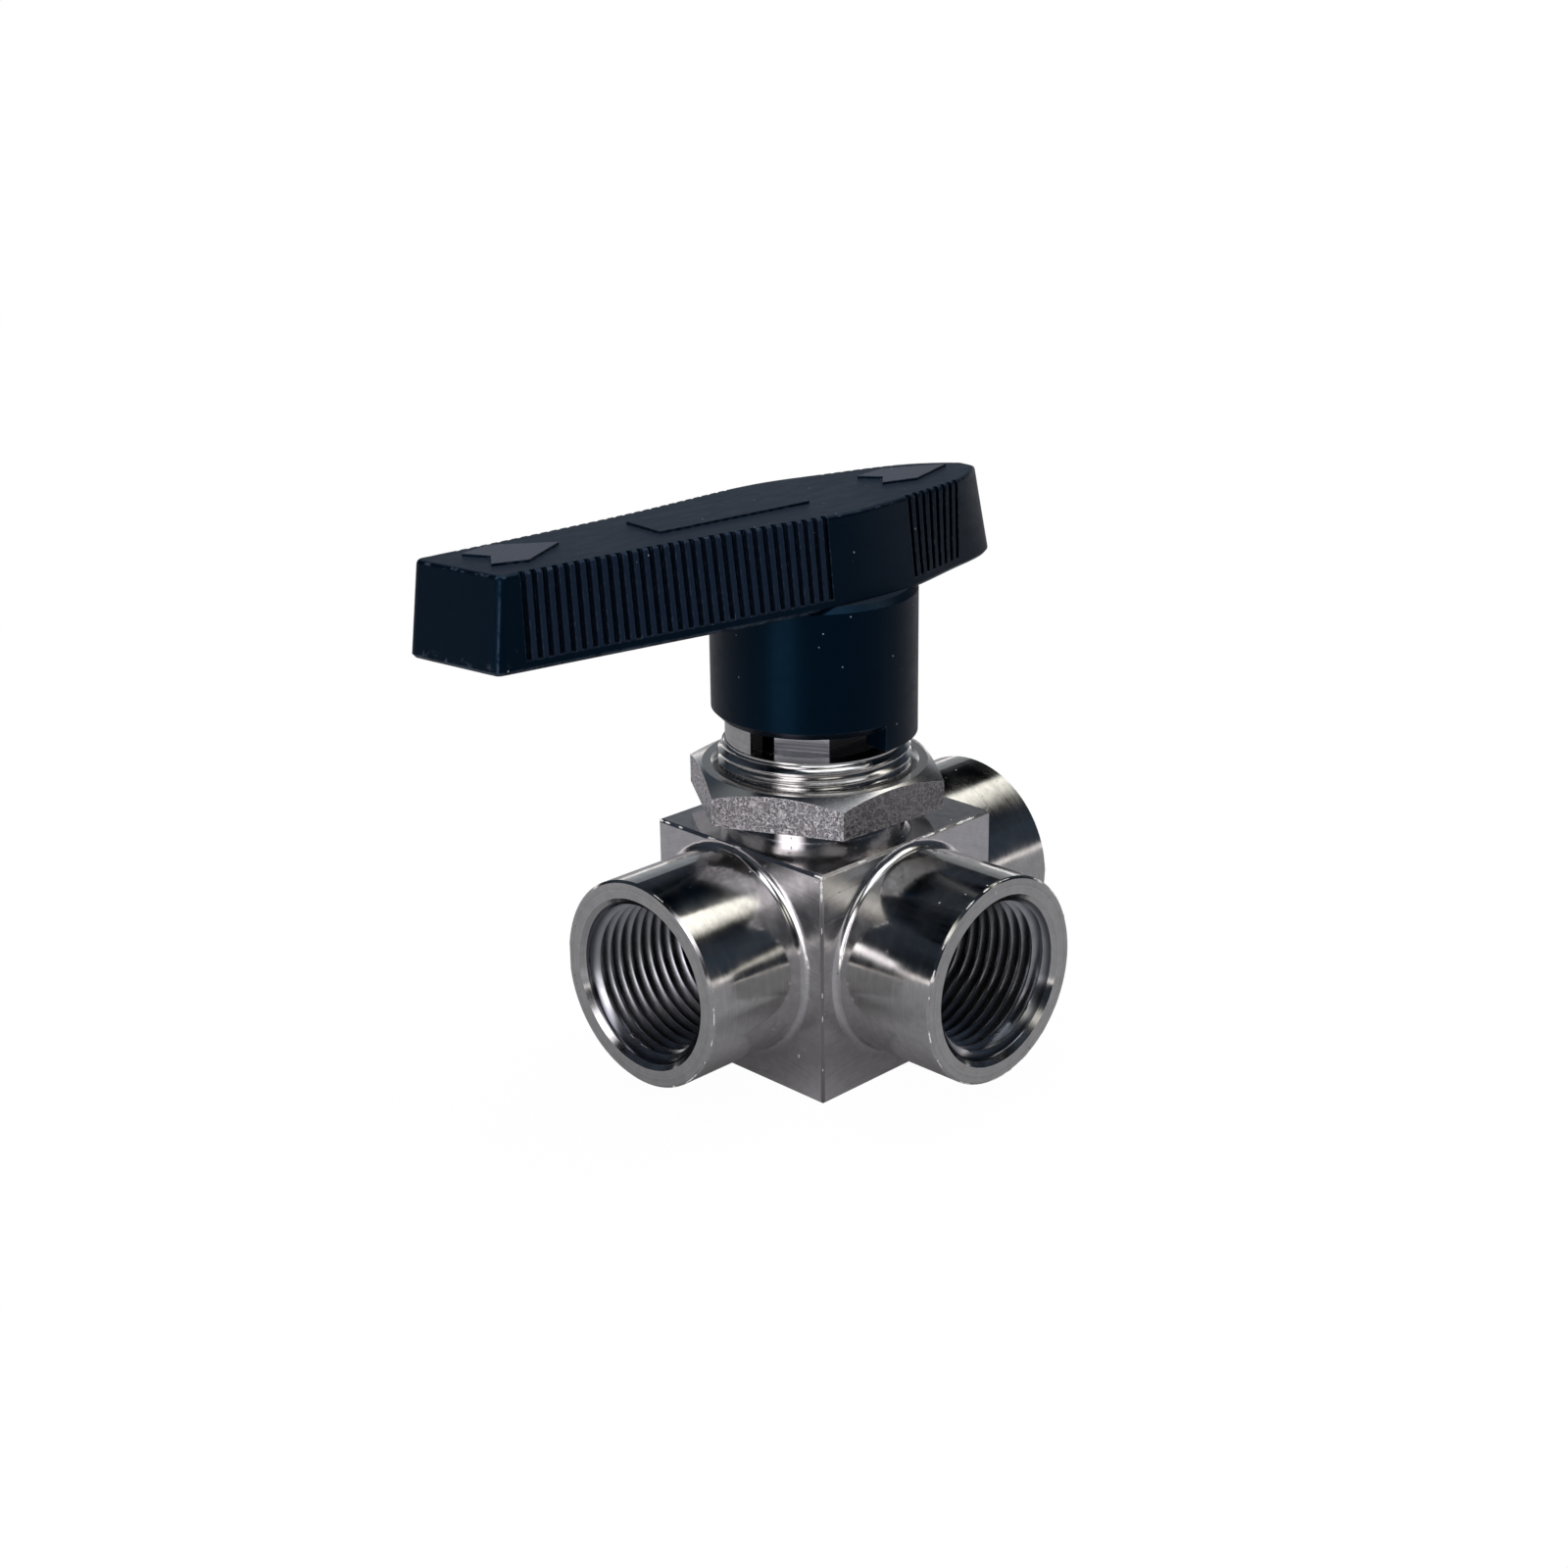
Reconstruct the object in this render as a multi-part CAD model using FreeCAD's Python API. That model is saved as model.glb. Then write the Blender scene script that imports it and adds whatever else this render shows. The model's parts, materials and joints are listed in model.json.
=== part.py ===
"""Three way ball valve with side ports, a panel-mount bonnet and a moulded lever handle.

Frame: +Z up along the stem, the run along X, the branch port towards -Y.
Origin: on the stem axis, at the underside of the block. Millimetres.
"""
import FreeCAD, Part
import math
import os
from FreeCAD import Vector

# ---- Driving dimensions, millimetres and degrees -------------------------------------------
PORT_R = 10.6                 # outside radius of the three port bosses
PORT_Z = 13.1                 # height of the port axes above the base
RUN_REACH = 24.8              # from the stem axis to the faces of the two run ports
BRANCH_REACH = 25.0           # and to the face of the branch port

BLOCK_SIDE = 12.5             # block, from the stem axis to its left and right faces
BLOCK_FRONT = 12.95           # to the branch face
BLOCK_BACK = 10.25            # to the blank back face
BLOCK_TOP = PORT_Z + 11.25
BLOCK_EDGE = 0.3              # chamfer on the block's edges
BOSS_FILLET = 0.8             # at the root of each port boss
BOSS_CHAMFER = 0.25           # on the outer rim of each port boss
BOSS_STUB = 1.0               # how far a boss reaches into the chamfered block

THREAD_R = 8.33               # port thread, major radius (G 3/8)
THREAD_LENGTH = 13.0
MOUTH_R = 8.8                 # port mouth chamfer
TAP_DRILL_R = 7.5
TAP_RELIEF = 0.6              # tap drill bore left plain below the thread
DRILL_POINT = 1.0             # length of the cone the tap drill leaves
FLOW_R = 2.4                  # flow passage

CHAMBER_R = 7.4               # packing chamber
CHAMBER_FLOOR = PORT_Z - 7.6
NECK_R = 9.2                  # relief under the bonnet thread, and the lip above it
NECK_HEIGHT = 1.4
BONNET_LIP = 0.2
BONNET_R = 9.85               # bonnet thread, over its crests
BONNET_ROOT_R = 9.3
BONNET_TOP = PORT_Z + 19.6
FULL_THREAD_DROP = 0.1        # the modelled crest ends this far below the nut's top
COLLAR_R = 9.1                # stop collar that stands on the bonnet
COLLAR_TOP = PORT_Z + 24.3
COLLAR_START = 4.0            # the collar's half ring, measured from +X
COLLAR_END = 180.0

NUT_FLATS = 23.6
NUT_BOTTOM = PORT_Z + 13.1
NUT_TOP = PORT_Z + 17.0
NUT_CORNER = 55.8             # direction of one corner
NUT_CHAMFER_R = 11.5          # where the chamfer on the nut's corners starts
NUT_CHAMFER_ANGLE = 25.0
NUT_COUNTERSINK = 0.75

BALL_R = 5.5
BALL_GAP = 0.1
TANG_BOTTOM = PORT_Z + 4.0    # tang that drives the ball
TANG_WIDTH = 2.5
TANG_REACH = 3.1
STEM_R = 3.2
STEM_BOTTOM = PORT_Z + 5.55
STEM_FLANGE_R = 4.4
STEM_SHOULDER = PORT_Z + 7.2
STEM_ROUND_TOP = PORT_Z + 24.0
STEM_DRIVE = 4.6              # square that drives the handle
STEM_TOP = PORT_Z + 34.0

SEAT_START = 5.65             # from the stem axis to the discs behind the ball's seats
SEAT_DISC = 0.35
SEAT_R = 3.6
PACKING_TOP = PORT_Z + 8.4

BOLT_BOTTOM = PORT_Z + 12.2   # packing bolt
BOLT_SHOULDER = PORT_Z + 19.4
BOLT_TOP = PORT_Z + 23.1
BOLT_THREAD_TOP = PORT_Z + 19.0
BOLT_SHOULDER_STEP = 0.5      # the shoulder is this much smaller than the thread
BOLT_FLATS = 9.8
BOLT_CORNER = 239.0           # direction of one corner
BOLT_CROWN_STEP = 0.2         # flat top, wider than the hexagon's flats by this much each side
BOLT_CROWN_SLOPE = 0.6
BEARING_R = 4.2
BEARING_TOP = PORT_Z + 17.5

SPRING_COUNT = 3
SPRING_THICKNESS = 0.45
SPRING_RISE = 0.4
SPRING_BOTTOM = PORT_Z + 9.6
SPRING_TOP = SPRING_BOTTOM + SPRING_COUNT * SPRING_THICKNESS + SPRING_RISE

SLIDE_GAP = 0.05              # per side, between pieces that slide together
FLANGE_GAP = 0.1
STEM_GAP = 0.07               # stem in the packing
BEARING_GAP = 0.06            # stem in its bearing
BOLT_BORE_GAP = 0.15
WASHER_GAP = 0.1              # round the outside of the washers
WASHER_BORE_GAP = 0.2
SPRING_GAP = 0.4

HUB_R = 10.45
HUB_BOTTOM = PORT_Z + 22.25
HUB_CHAMFER = 0.8             # round the hub's lower rim
HUB_BLEND = 0.3               # where the hub meets the underside of the bar
HUB_CAVITY_R = 9.4
HUB_CAVITY_TOP = PORT_Z + 27.0
BOSS_R = 6.2                  # the handle's inner boss, around its insert
BOSS_BOTTOM = PORT_Z + 24.2
LUG_R = 7.6                   # stop lug, inside radius
LUG_BOTTOM = PORT_Z + 20.35
LUG_START = 272.0
LUG_END = 362.0
INSERT_R = 5.0
INSERT_TOP = PORT_Z + 34.2
INSERT_GAP = 0.1

BAR_BOTTOM = PORT_Z + 35.35
BAR_TOP = PORT_Z + 44.3
MARK_HEIGHT = 0.3             # raised arrows and blank label pad
LEFT_ARROW = (-29.7, 8.8, 3.4)    # tip, length, half width
RIGHT_ARROW = (18.3, 10.4, 2.7)
ARROW_SHOULDER = 0.62         # widest place, as a share of the length behind the tip
ARROW_TAIL = 0.7              # half width at the back, as a share of the widest
ARROW_NOTCH = 0.17            # notch in the back, as a share of the length
ARROW_OFFSET = 0.5            # the arrows stand a little towards the far side
PAD_START = -20.6
PAD_END = -2.6
PAD_HALF_WIDTH = 2.6
RIB_PITCH = 1.12
GROOVE_WIDTH = 0.58
GROOVE_DEPTH = 0.5
RIB_LIP = 1.0                 # plain edge left under the ribs
POCKET_DEPTH = 5.5            # moulded coring on the underside
POCKET_START = -38.6
POCKET_PITCH = 5.4
POCKET_COUNT = 5
POCKET_LENGTH = 4.4
POCKET_WIDTH = 3.8
POCKET_WEB = 0.8              # half the web between the left and right pockets
NOSE_POCKET = 13.0
NOSE_POCKET_HALF_WIDTH = 2.6

SCREW_Z = PORT_Z + 30.6
SCREW_R = 2.0
SCREW_LENGTH = 7.2
SCREW_GAP = 0.15
SOCKET_FLATS = 2.0
SOCKET_DEPTH = 2.2

HANDLE_TURN = -5.6            # how far the lever stands off the run as stored

# Lever outline: distance along the lever from the stem axis, and half width there.
BAR_TOP_OUTLINE = [(-41.05, 5.3), (-27.5, 5.75), (-14.8, 6.6), (-6.4, 7.6), (0.0, 7.8), (6.4, 6.7),
                   (13.2, 5.4), (16.4, 4.3), (18.6, 3.0), (20.1, 1.8), (20.9, 1.0)]
BAR_BOTTOM_OUTLINE = [(-42.05, 5.5), (-29.0, 6.6), (-15.5, 7.9), (-6.4, 8.7), (0.0, 8.8), (7.2, 7.8),
                      (13.9, 5.6), (18.6, 4.1), (20.9, 3.0), (22.2, 1.9), (22.9, 1.0)]
END_SKEW = 1.3                # the long end is cut nearly square to the run, not to the lever
CORNER_ROUNDING = 0.9
TOP_ROUNDING = 0.45
RIM_BEVEL = 0.35
LEFT_GROOVES = (-37.5, 30)    # place of the first groove, and how many
RIGHT_GROOVES = (6.7, 8)

OVERLAP = 0.2                 # how far shapes reach into each other before they are joined
PAST = 1.0                    # how far a cutting shape runs past the face it cuts
UP = Vector(0, 0, 1)
ORIGIN = Vector(0, 0, 0)
PORTS = {"left": Vector(-1, 0, 0), "right": Vector(1, 0, 0), "branch": Vector(0, -1, 0)}
REACHES = {"left": RUN_REACH, "right": RUN_REACH, "branch": BRANCH_REACH}
BLOCK_FACES = {"left": BLOCK_SIDE, "right": BLOCK_SIDE, "branch": BLOCK_FRONT}


# ---- Shape helpers -------------------------------------------------------------------------
def cylinder(radius, bottom, top):
    return Part.makeCylinder(radius, top - bottom, Vector(0, 0, bottom), UP)


def ring(outer, inner, bottom, top):
    return cylinder(outer, bottom, top).cut(cylinder(inner, bottom - PAST, top + PAST))


def block(low, high):
    size = Vector(*high) - Vector(*low)
    return Part.makeBox(size.x, size.y, size.z, Vector(*low))


def revolved(points, angle=360.0):
    """Turn a closed (radius, height) outline about the stem axis."""
    corners = [Vector(radius, 0, height) for radius, height in points]
    face = Part.Face(Part.makePolygon(corners + corners[:1]))
    return face.revolve(ORIGIN, UP, angle)


def sector(inner, outer, bottom, top, start, end):
    solid = revolved([(inner, bottom), (outer, bottom), (outer, top), (inner, top)], end - start)
    solid.rotate(ORIGIN, UP, start)
    return solid


def prism(sides_points, bottom, top):
    corners = [Vector(x, y, bottom) for x, y in sides_points]
    face = Part.Face(Part.makePolygon(corners + corners[:1]))
    return face.extrude(Vector(0, 0, top - bottom))


def hexagon(across_flats, bottom, top, corner_direction):
    corner = across_flats / 2 / math.cos(math.radians(30))
    angles = [math.radians(corner_direction + 60 * step) for step in range(6)]
    return prism([(corner * math.cos(a), corner * math.sin(a)) for a in angles], bottom, top)


def along_port(radius, start, end, direction):
    """Cylinder on a port's axis, between two distances from the stem axis."""
    return Part.makeCylinder(radius, end - start, direction * start + UP * PORT_Z, direction)


def port_revolved(points, direction):
    """Turn a closed (distance from the stem axis, radius) outline about a port's axis."""
    corners = [direction * distance + UP * (PORT_Z + radius) for distance, radius in points]
    face = Part.Face(Part.makePolygon(corners + corners[:1]))
    return face.revolve(UP * PORT_Z, direction, 360)


# ---- Body ----------------------------------------------------------------------------------
def boss_with_fillet(name):
    """A port boss, with a concave fillet where it leaves the block."""
    direction = PORTS[name]
    face = BLOCK_FACES[name]
    reach = REACHES[name]
    tip = face + BOSS_FILLET
    flare_r = PORT_R + BOSS_FILLET

    def at(distance, radius):
        return direction * distance + UP * (PORT_Z + radius)

    bulge = BOSS_FILLET * math.cos(math.pi / 4)
    edges = [
        Part.LineSegment(at(0, 0), at(0, flare_r)).toShape(),
        Part.LineSegment(at(0, flare_r), at(face, flare_r)).toShape(),
        Part.Arc(at(face, flare_r), at(tip - bulge, flare_r - bulge), at(tip, PORT_R)).toShape(),
        Part.LineSegment(at(tip, PORT_R), at(reach - BOSS_CHAMFER, PORT_R)).toShape(),
        Part.LineSegment(at(reach - BOSS_CHAMFER, PORT_R), at(reach, PORT_R - BOSS_CHAMFER)).toShape(),
        Part.LineSegment(at(reach, PORT_R - BOSS_CHAMFER), at(reach, 0)).toShape(),
        Part.LineSegment(at(reach, 0), at(0, 0)).toShape(),
    ]
    solid = Part.Face(Part.Wire(edges)).revolve(UP * PORT_Z, direction, 360)
    # The flare ends where the block's own top and sides end.
    if direction.x:
        window = block((-2 * face, -BLOCK_FRONT, 0), (2 * face, BLOCK_BACK, BLOCK_TOP))
    else:
        window = block((-BLOCK_SIDE, -2 * face, 0), (BLOCK_SIDE, 0, BLOCK_TOP))
    core = block((-BLOCK_SIDE, -BLOCK_FRONT, 0), (BLOCK_SIDE, BLOCK_BACK, BLOCK_TOP))
    return solid.common(window).cut(core)


def port_cavity(name):
    reach = REACHES[name]
    bottom = reach - THREAD_LENGTH
    relief = bottom - TAP_RELIEF
    outline = [
        (0, 0), (0, FLOW_R), (relief - DRILL_POINT, FLOW_R), (relief, TAP_DRILL_R), (bottom, TAP_DRILL_R),
        (bottom, THREAD_R), (reach - (MOUTH_R - THREAD_R), THREAD_R),
        (reach, MOUTH_R), (reach + PAST, MOUTH_R), (reach + PAST, 0),
    ]
    return port_revolved(outline, PORTS[name])


def bonnet():
    """Threaded neck above the block, with the half ring that stops the lever."""
    base = BLOCK_TOP - OVERLAP
    crest_bottom = BLOCK_TOP + NECK_HEIGHT
    crest_top = NUT_TOP - FULL_THREAD_DROP
    lip = BONNET_TOP - BONNET_LIP
    outline = [
        (0, base), (NECK_R, base), (NECK_R, crest_bottom),
        (BONNET_R, crest_bottom + BONNET_R - BONNET_ROOT_R), (BONNET_R, crest_top),
        (BONNET_ROOT_R, crest_top), (BONNET_ROOT_R, lip - (BONNET_ROOT_R - NECK_R)), (NECK_R, lip),
        (NECK_R, BONNET_TOP), (0, BONNET_TOP),
    ]
    collar = sector(CHAMBER_R - PAST, COLLAR_R, BONNET_TOP - OVERLAP, COLLAR_TOP, COLLAR_START, COLLAR_END)
    return revolved(outline).fuse(collar)


def valve_body():
    core = block((-BLOCK_SIDE, -BLOCK_FRONT, 0), (BLOCK_SIDE, BLOCK_BACK, BLOCK_TOP))
    core = core.makeChamfer(BLOCK_EDGE, core.Edges)
    # The bosses meet the chamfered block through short plain stubs of their own radius.
    stubs = [along_port(PORT_R, BLOCK_FACES[name] - BOSS_STUB, BLOCK_FACES[name] + BOSS_STUB, direction)
             for name, direction in PORTS.items()]
    solid = core.fuse([boss_with_fillet(name) for name in PORTS] + stubs + [bonnet()])
    solid = solid.cut([port_cavity(name) for name in PORTS])
    solid = solid.cut(cylinder(CHAMBER_R, CHAMBER_FLOOR, COLLAR_TOP + PAST))
    return solid.removeSplitter()


def panel_nut():
    solid = hexagon(NUT_FLATS, NUT_BOTTOM, NUT_TOP, NUT_CORNER)
    slope = math.tan(math.radians(NUT_CHAMFER_ANGLE))
    outside = NUT_FLATS / math.sqrt(3) + PAST
    cone = revolved([
        (0, NUT_BOTTOM), (outside, NUT_BOTTOM), (outside, NUT_TOP - (outside - NUT_CHAMFER_R) * slope),
        (NUT_CHAMFER_R, NUT_TOP), (0, NUT_TOP),
    ])
    wide = BONNET_R + NUT_COUNTERSINK
    bore = revolved([
        (0, NUT_BOTTOM - PAST), (BONNET_R, NUT_BOTTOM - PAST), (BONNET_R, NUT_TOP - NUT_COUNTERSINK),
        (wide, NUT_TOP), (wide, NUT_TOP + PAST), (0, NUT_TOP + PAST),
    ])
    return solid.common(cone).cut(bore)


# ---- Ball, stem and packing ----------------------------------------------------------------
def ball():
    """Ball with an elbow passage: one mouth towards the branch, one towards +X."""
    solid = Part.makeSphere(BALL_R, UP * PORT_Z)
    elbow = Part.makeSphere(FLOW_R, UP * PORT_Z)
    arms = [along_port(FLOW_R, 0, BALL_R + PAST, PORTS[name]) for name in ("right", "branch")]
    half = TANG_WIDTH / 2 + SLIDE_GAP
    slot = block((-half, -BALL_R, TANG_BOTTOM - SLIDE_GAP), (half, BALL_R, PORT_Z + BALL_R + PAST))
    return solid.cut([elbow] + arms + [slot])


def stem():
    solid = revolved([
        (0, STEM_BOTTOM), (STEM_FLANGE_R, STEM_BOTTOM), (STEM_FLANGE_R, STEM_SHOULDER),
        (STEM_R, STEM_SHOULDER), (STEM_R, STEM_ROUND_TOP), (0, STEM_ROUND_TOP),
    ])
    half = TANG_WIDTH / 2
    tang = block((-half, -TANG_REACH, TANG_BOTTOM), (half, TANG_REACH, STEM_BOTTOM + OVERLAP))
    half = STEM_DRIVE / 2
    drive = block((-half, -half, STEM_ROUND_TOP - OVERLAP), (half, half, STEM_TOP))
    drive = drive.common(cylinder(STEM_R, STEM_BOTTOM, STEM_TOP))
    return solid.fuse([tang, drive]).removeSplitter()


def packing_half(bottom, top):
    """Half of the moulded packing, hollowed for the ball, the stem and the three seats."""
    solid = cylinder(CHAMBER_R - SLIDE_GAP, bottom, top)
    inside_ball = PORT_Z + BALL_R / 2
    cuts = [
        Part.makeSphere(BALL_R + BALL_GAP, UP * PORT_Z),
        cylinder(STEM_FLANGE_R + FLANGE_GAP, inside_ball, STEM_SHOULDER + FLANGE_GAP),
        cylinder(STEM_R + STEM_GAP, inside_ball, PACKING_TOP + PAST),
    ]
    for direction in PORTS.values():
        cuts.append(along_port(FLOW_R, 0, CHAMBER_R + PAST, direction))
        cuts.append(along_port(SEAT_R, SEAT_START, CHAMBER_R + PAST, direction))
    return solid.cut(cuts)


def side_disc(direction):
    outer = along_port(SEAT_R, SEAT_START, SEAT_START + SEAT_DISC, direction)
    return outer.cut(along_port(FLOW_R, 0, CHAMBER_R, direction))


def side_ring(direction):
    """Ring whose outer face follows the round chamber wall."""
    outer = along_port(SEAT_R, SEAT_START + SEAT_DISC, CHAMBER_R + PAST, direction)
    outer = outer.common(cylinder(CHAMBER_R, PORT_Z - CHAMBER_R, PORT_Z + CHAMBER_R))
    return outer.cut(along_port(FLOW_R, 0, CHAMBER_R + PAST, direction))


def washer(bottom, top):
    return ring(CHAMBER_R - WASHER_GAP, STEM_R + WASHER_BORE_GAP, bottom, top)


def disc_spring(step):
    """One of the dished springs, nested on the one below it."""
    low = SPRING_BOTTOM + step * SPRING_THICKNESS
    inner = STEM_R + SPRING_GAP
    outer = CHAMBER_R - SPRING_GAP
    return revolved([
        (inner, low + SPRING_RISE), (outer, low), (outer, low + SPRING_THICKNESS),
        (inner, low + SPRING_RISE + SPRING_THICKNESS),
    ])


def packing_bolt():
    """Threaded bolt that presses the packing, with its hexagon above the bonnet."""
    thread = cylinder(CHAMBER_R, BOLT_BOTTOM, BOLT_THREAD_TOP)
    shoulder = cylinder(CHAMBER_R - BOLT_SHOULDER_STEP, BOLT_THREAD_TOP - OVERLAP, BOLT_SHOULDER)
    head = hexagon(BOLT_FLATS, BOLT_SHOULDER - OVERLAP, BOLT_TOP, BOLT_CORNER)
    crown_r = BOLT_FLATS / 2 + BOLT_CROWN_STEP
    crown = revolved([
        (0, BOLT_SHOULDER - PAST), (crown_r + PAST, BOLT_SHOULDER - PAST),
        (crown_r + PAST, BOLT_TOP - PAST * BOLT_CROWN_SLOPE), (crown_r, BOLT_TOP), (0, BOLT_TOP),
    ])
    solid = thread.fuse([shoulder, head.common(crown)])
    solid = solid.cut(cylinder(BEARING_R, BOLT_BOTTOM - PAST, BEARING_TOP))
    solid = solid.cut(cylinder(STEM_R + BOLT_BORE_GAP, BOLT_BOTTOM - PAST, BOLT_TOP + PAST))
    return solid.removeSplitter()


# ---- Handle --------------------------------------------------------------------------------
def lever_face_wire(outline, height, inset=0.0):
    """Closed outline of the lever at one height: two splined sides and two straight ends.

    inset moves the outline inwards, for the solid that stands behind the grooves.
    """
    places = [place for place, _ in outline]
    places[0] += inset
    places[-1] -= inset
    near = [Vector(place, inset - width, height) for place, (_, width) in zip(places, outline)]
    far = [Vector(place, width - inset, height) for place, (_, width) in zip(places, outline)]
    near[0].x += END_SKEW
    far[0].x -= END_SKEW
    far.reverse()
    near_side = Part.BSplineCurve()
    near_side.interpolate(near)
    far_side = Part.BSplineCurve()
    far_side.interpolate(far)
    return Part.Wire([
        near_side.toShape(), Part.LineSegment(near[-1], far[0]).toShape(),
        far_side.toShape(), Part.LineSegment(far[-1], near[0]).toShape(),
    ])


def lever_bar(inset=0.0):
    """The lever's drafted bar, lofted from its wide underside to its narrower top."""
    bottom = lever_face_wire(BAR_BOTTOM_OUTLINE, BAR_BOTTOM, inset)
    top = lever_face_wire(BAR_TOP_OUTLINE, BAR_TOP, inset)
    return Part.makeLoft([bottom, top], True, True)


def rounded_bar():
    """The bar with rounded upright corners, a rounded top rim and a small lower bevel."""
    bar = lever_bar()
    middle = (BAR_BOTTOM + BAR_TOP) / 2
    corners = [edge for edge in bar.Edges
               if (edge.Vertexes[0].Z - middle) * (edge.Vertexes[-1].Z - middle) < 0]
    bar = bar.makeFillet(CORNER_ROUNDING, corners)

    def rim(height):
        return [edge for edge in bar.Edges
                if all(abs(vertex.Z - height) < 0.01 for vertex in edge.Vertexes)]

    bar = bar.makeFillet(TOP_ROUNDING, rim(BAR_TOP))
    return bar.makeChamfer(RIM_BEVEL, rim(BAR_BOTTOM))


def grooves():
    """Slots between the grip ribs, as a ring of slabs around a smaller bar."""
    wide = 12.0
    core_half_width = 3.0
    bottom = BAR_BOTTOM + RIB_LIP
    slabs = []
    for first, count in (LEFT_GROOVES, RIGHT_GROOVES):
        for step in range(count):
            low = first + step * RIB_PITCH - GROOVE_WIDTH / 2
            slabs.append(block((low, -wide, bottom), (low + GROOVE_WIDTH, wide, BAR_TOP + PAST)))
    length = HUB_R - BAR_BOTTOM_OUTLINE[0][0]
    core = block((-length, -core_half_width, BAR_BOTTOM), (length, core_half_width, BAR_TOP + 2 * PAST))
    return Part.makeCompound(slabs).cut(lever_bar(GROOVE_DEPTH).fuse(core))


def raised_mark(points):
    return prism(points, BAR_TOP - OVERLAP, BAR_TOP + MARK_HEIGHT)


def arrow(tip, length, half_width):
    """Raised arrowhead that points along +X, notched at the back."""
    back = tip - length
    shoulder = tip - ARROW_SHOULDER * length
    notch = back + ARROW_NOTCH * length
    tail = ARROW_TAIL * half_width
    points = [(tip, 0), (shoulder, half_width), (back, tail), (notch, 0), (back, -tail),
              (shoulder, -half_width)]
    return raised_mark([(x, y + ARROW_OFFSET) for x, y in points])


def label_pad():
    return raised_mark([(PAD_START, -PAD_HALF_WIDTH), (PAD_END, -PAD_HALF_WIDTH),
                        (PAD_END, PAD_HALF_WIDTH), (PAD_START, PAD_HALF_WIDTH)])


def core_pockets():
    """Moulded coring on the underside of the lever, left and right of a central web."""
    bottom = BAR_BOTTOM - PAST
    top = BAR_BOTTOM + POCKET_DEPTH
    pockets = []
    for step in range(POCKET_COUNT):
        place = POCKET_START + step * POCKET_PITCH
        for side in (-1, 1):
            near, far = sorted((side * POCKET_WEB, side * (POCKET_WEB + POCKET_WIDTH)))
            pockets.append(block((place, near, bottom), (place + POCKET_LENGTH, far, top)))
    pockets.append(block((NOSE_POCKET, -NOSE_POCKET_HALF_WIDTH, bottom),
                         (NOSE_POCKET + POCKET_LENGTH, NOSE_POCKET_HALF_WIDTH, top)))
    return pockets


def cross_drilling(radius, reach):
    """Round cut for the set screw, from the stem axis towards the blank back."""
    return Part.makeCylinder(radius, reach, UP * SCREW_Z, Vector(0, 1, 0))


def handle():
    hub = revolved([
        (0, HUB_BOTTOM), (HUB_R - HUB_CHAMFER, HUB_BOTTOM), (HUB_R, HUB_BOTTOM + HUB_CHAMFER),
        (HUB_R, BAR_BOTTOM - HUB_BLEND), (HUB_R - 2 * HUB_BLEND, BAR_BOTTOM + HUB_BLEND),
        (0, BAR_BOTTOM + HUB_BLEND),
    ])
    hub = hub.cut(cylinder(HUB_CAVITY_R, HUB_BOTTOM - PAST, BOSS_BOTTOM))
    hub = hub.cut(ring(HUB_CAVITY_R, BOSS_R, BOSS_BOTTOM - PAST, HUB_CAVITY_TOP))
    lug = sector(LUG_R, HUB_R, LUG_BOTTOM, HUB_CAVITY_TOP + OVERLAP, LUG_START, LUG_END)
    bar = rounded_bar().cut(core_pockets()).cut(grooves())
    solid = bar.fuse([hub, lug, arrow(*LEFT_ARROW), arrow(*RIGHT_ARROW), label_pad()])
    solid = solid.cut(cylinder(INSERT_R, HUB_BOTTOM - PAST, INSERT_TOP + INSERT_GAP))
    return solid.cut(cross_drilling(SCREW_R + SCREW_GAP, HUB_R + PAST)).removeSplitter()


def handle_insert():
    solid = cylinder(INSERT_R, BOSS_BOTTOM, INSERT_TOP)
    half = STEM_DRIVE / 2 + SLIDE_GAP
    solid = solid.cut(block((-half, -half, BOSS_BOTTOM - PAST), (half, half, INSERT_TOP + PAST)))
    return solid.cut(cross_drilling(SCREW_R, INSERT_R + PAST))


def handle_set_screw():
    """Grub screw from a flat of the stem's square outwards, with a hexagon socket."""
    tip = STEM_DRIVE / 2
    outwards = Vector(0, 1, 0)
    solid = Part.makeCylinder(SCREW_R, SCREW_LENGTH, Vector(0, tip, SCREW_Z), outwards)
    socket = hexagon(SOCKET_FLATS, 0, SOCKET_DEPTH + PAST, 0)
    socket.rotate(ORIGIN, Vector(1, 0, 0), -90)
    socket.translate(Vector(0, tip + SCREW_LENGTH - SOCKET_DEPTH, SCREW_Z))
    return solid.cut(socket)


# ---- Assembly ------------------------------------------------------------------------------
def turned(solid):
    """Stand a piece that turns with the lever at its stored angle."""
    solid.rotate(ORIGIN, UP, HANDLE_TURN)
    return solid


def fixed_pieces():
    pieces = {
        "valve_body": valve_body(),
        "panel_nut": panel_nut(),
        "packing_lower": packing_half(CHAMBER_FLOOR, PORT_Z),
        "packing_upper": packing_half(PORT_Z, PACKING_TOP),
        "gland_washer": washer(PACKING_TOP, SPRING_BOTTOM),
        "thrust_washer": washer(SPRING_TOP, BOLT_BOTTOM),
        "packing_bolt": packing_bolt(),
        "stem_bearing": ring(BEARING_R, STEM_R + BEARING_GAP, BOLT_BOTTOM, BEARING_TOP),
    }
    for name, direction in PORTS.items():
        pieces["side_disc_" + name] = side_disc(direction)
        pieces["side_ring_" + name] = side_ring(direction)
    for step in range(SPRING_COUNT):
        pieces["disc_spring_" + ("lower", "middle", "upper")[step]] = disc_spring(step)
    return pieces


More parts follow.
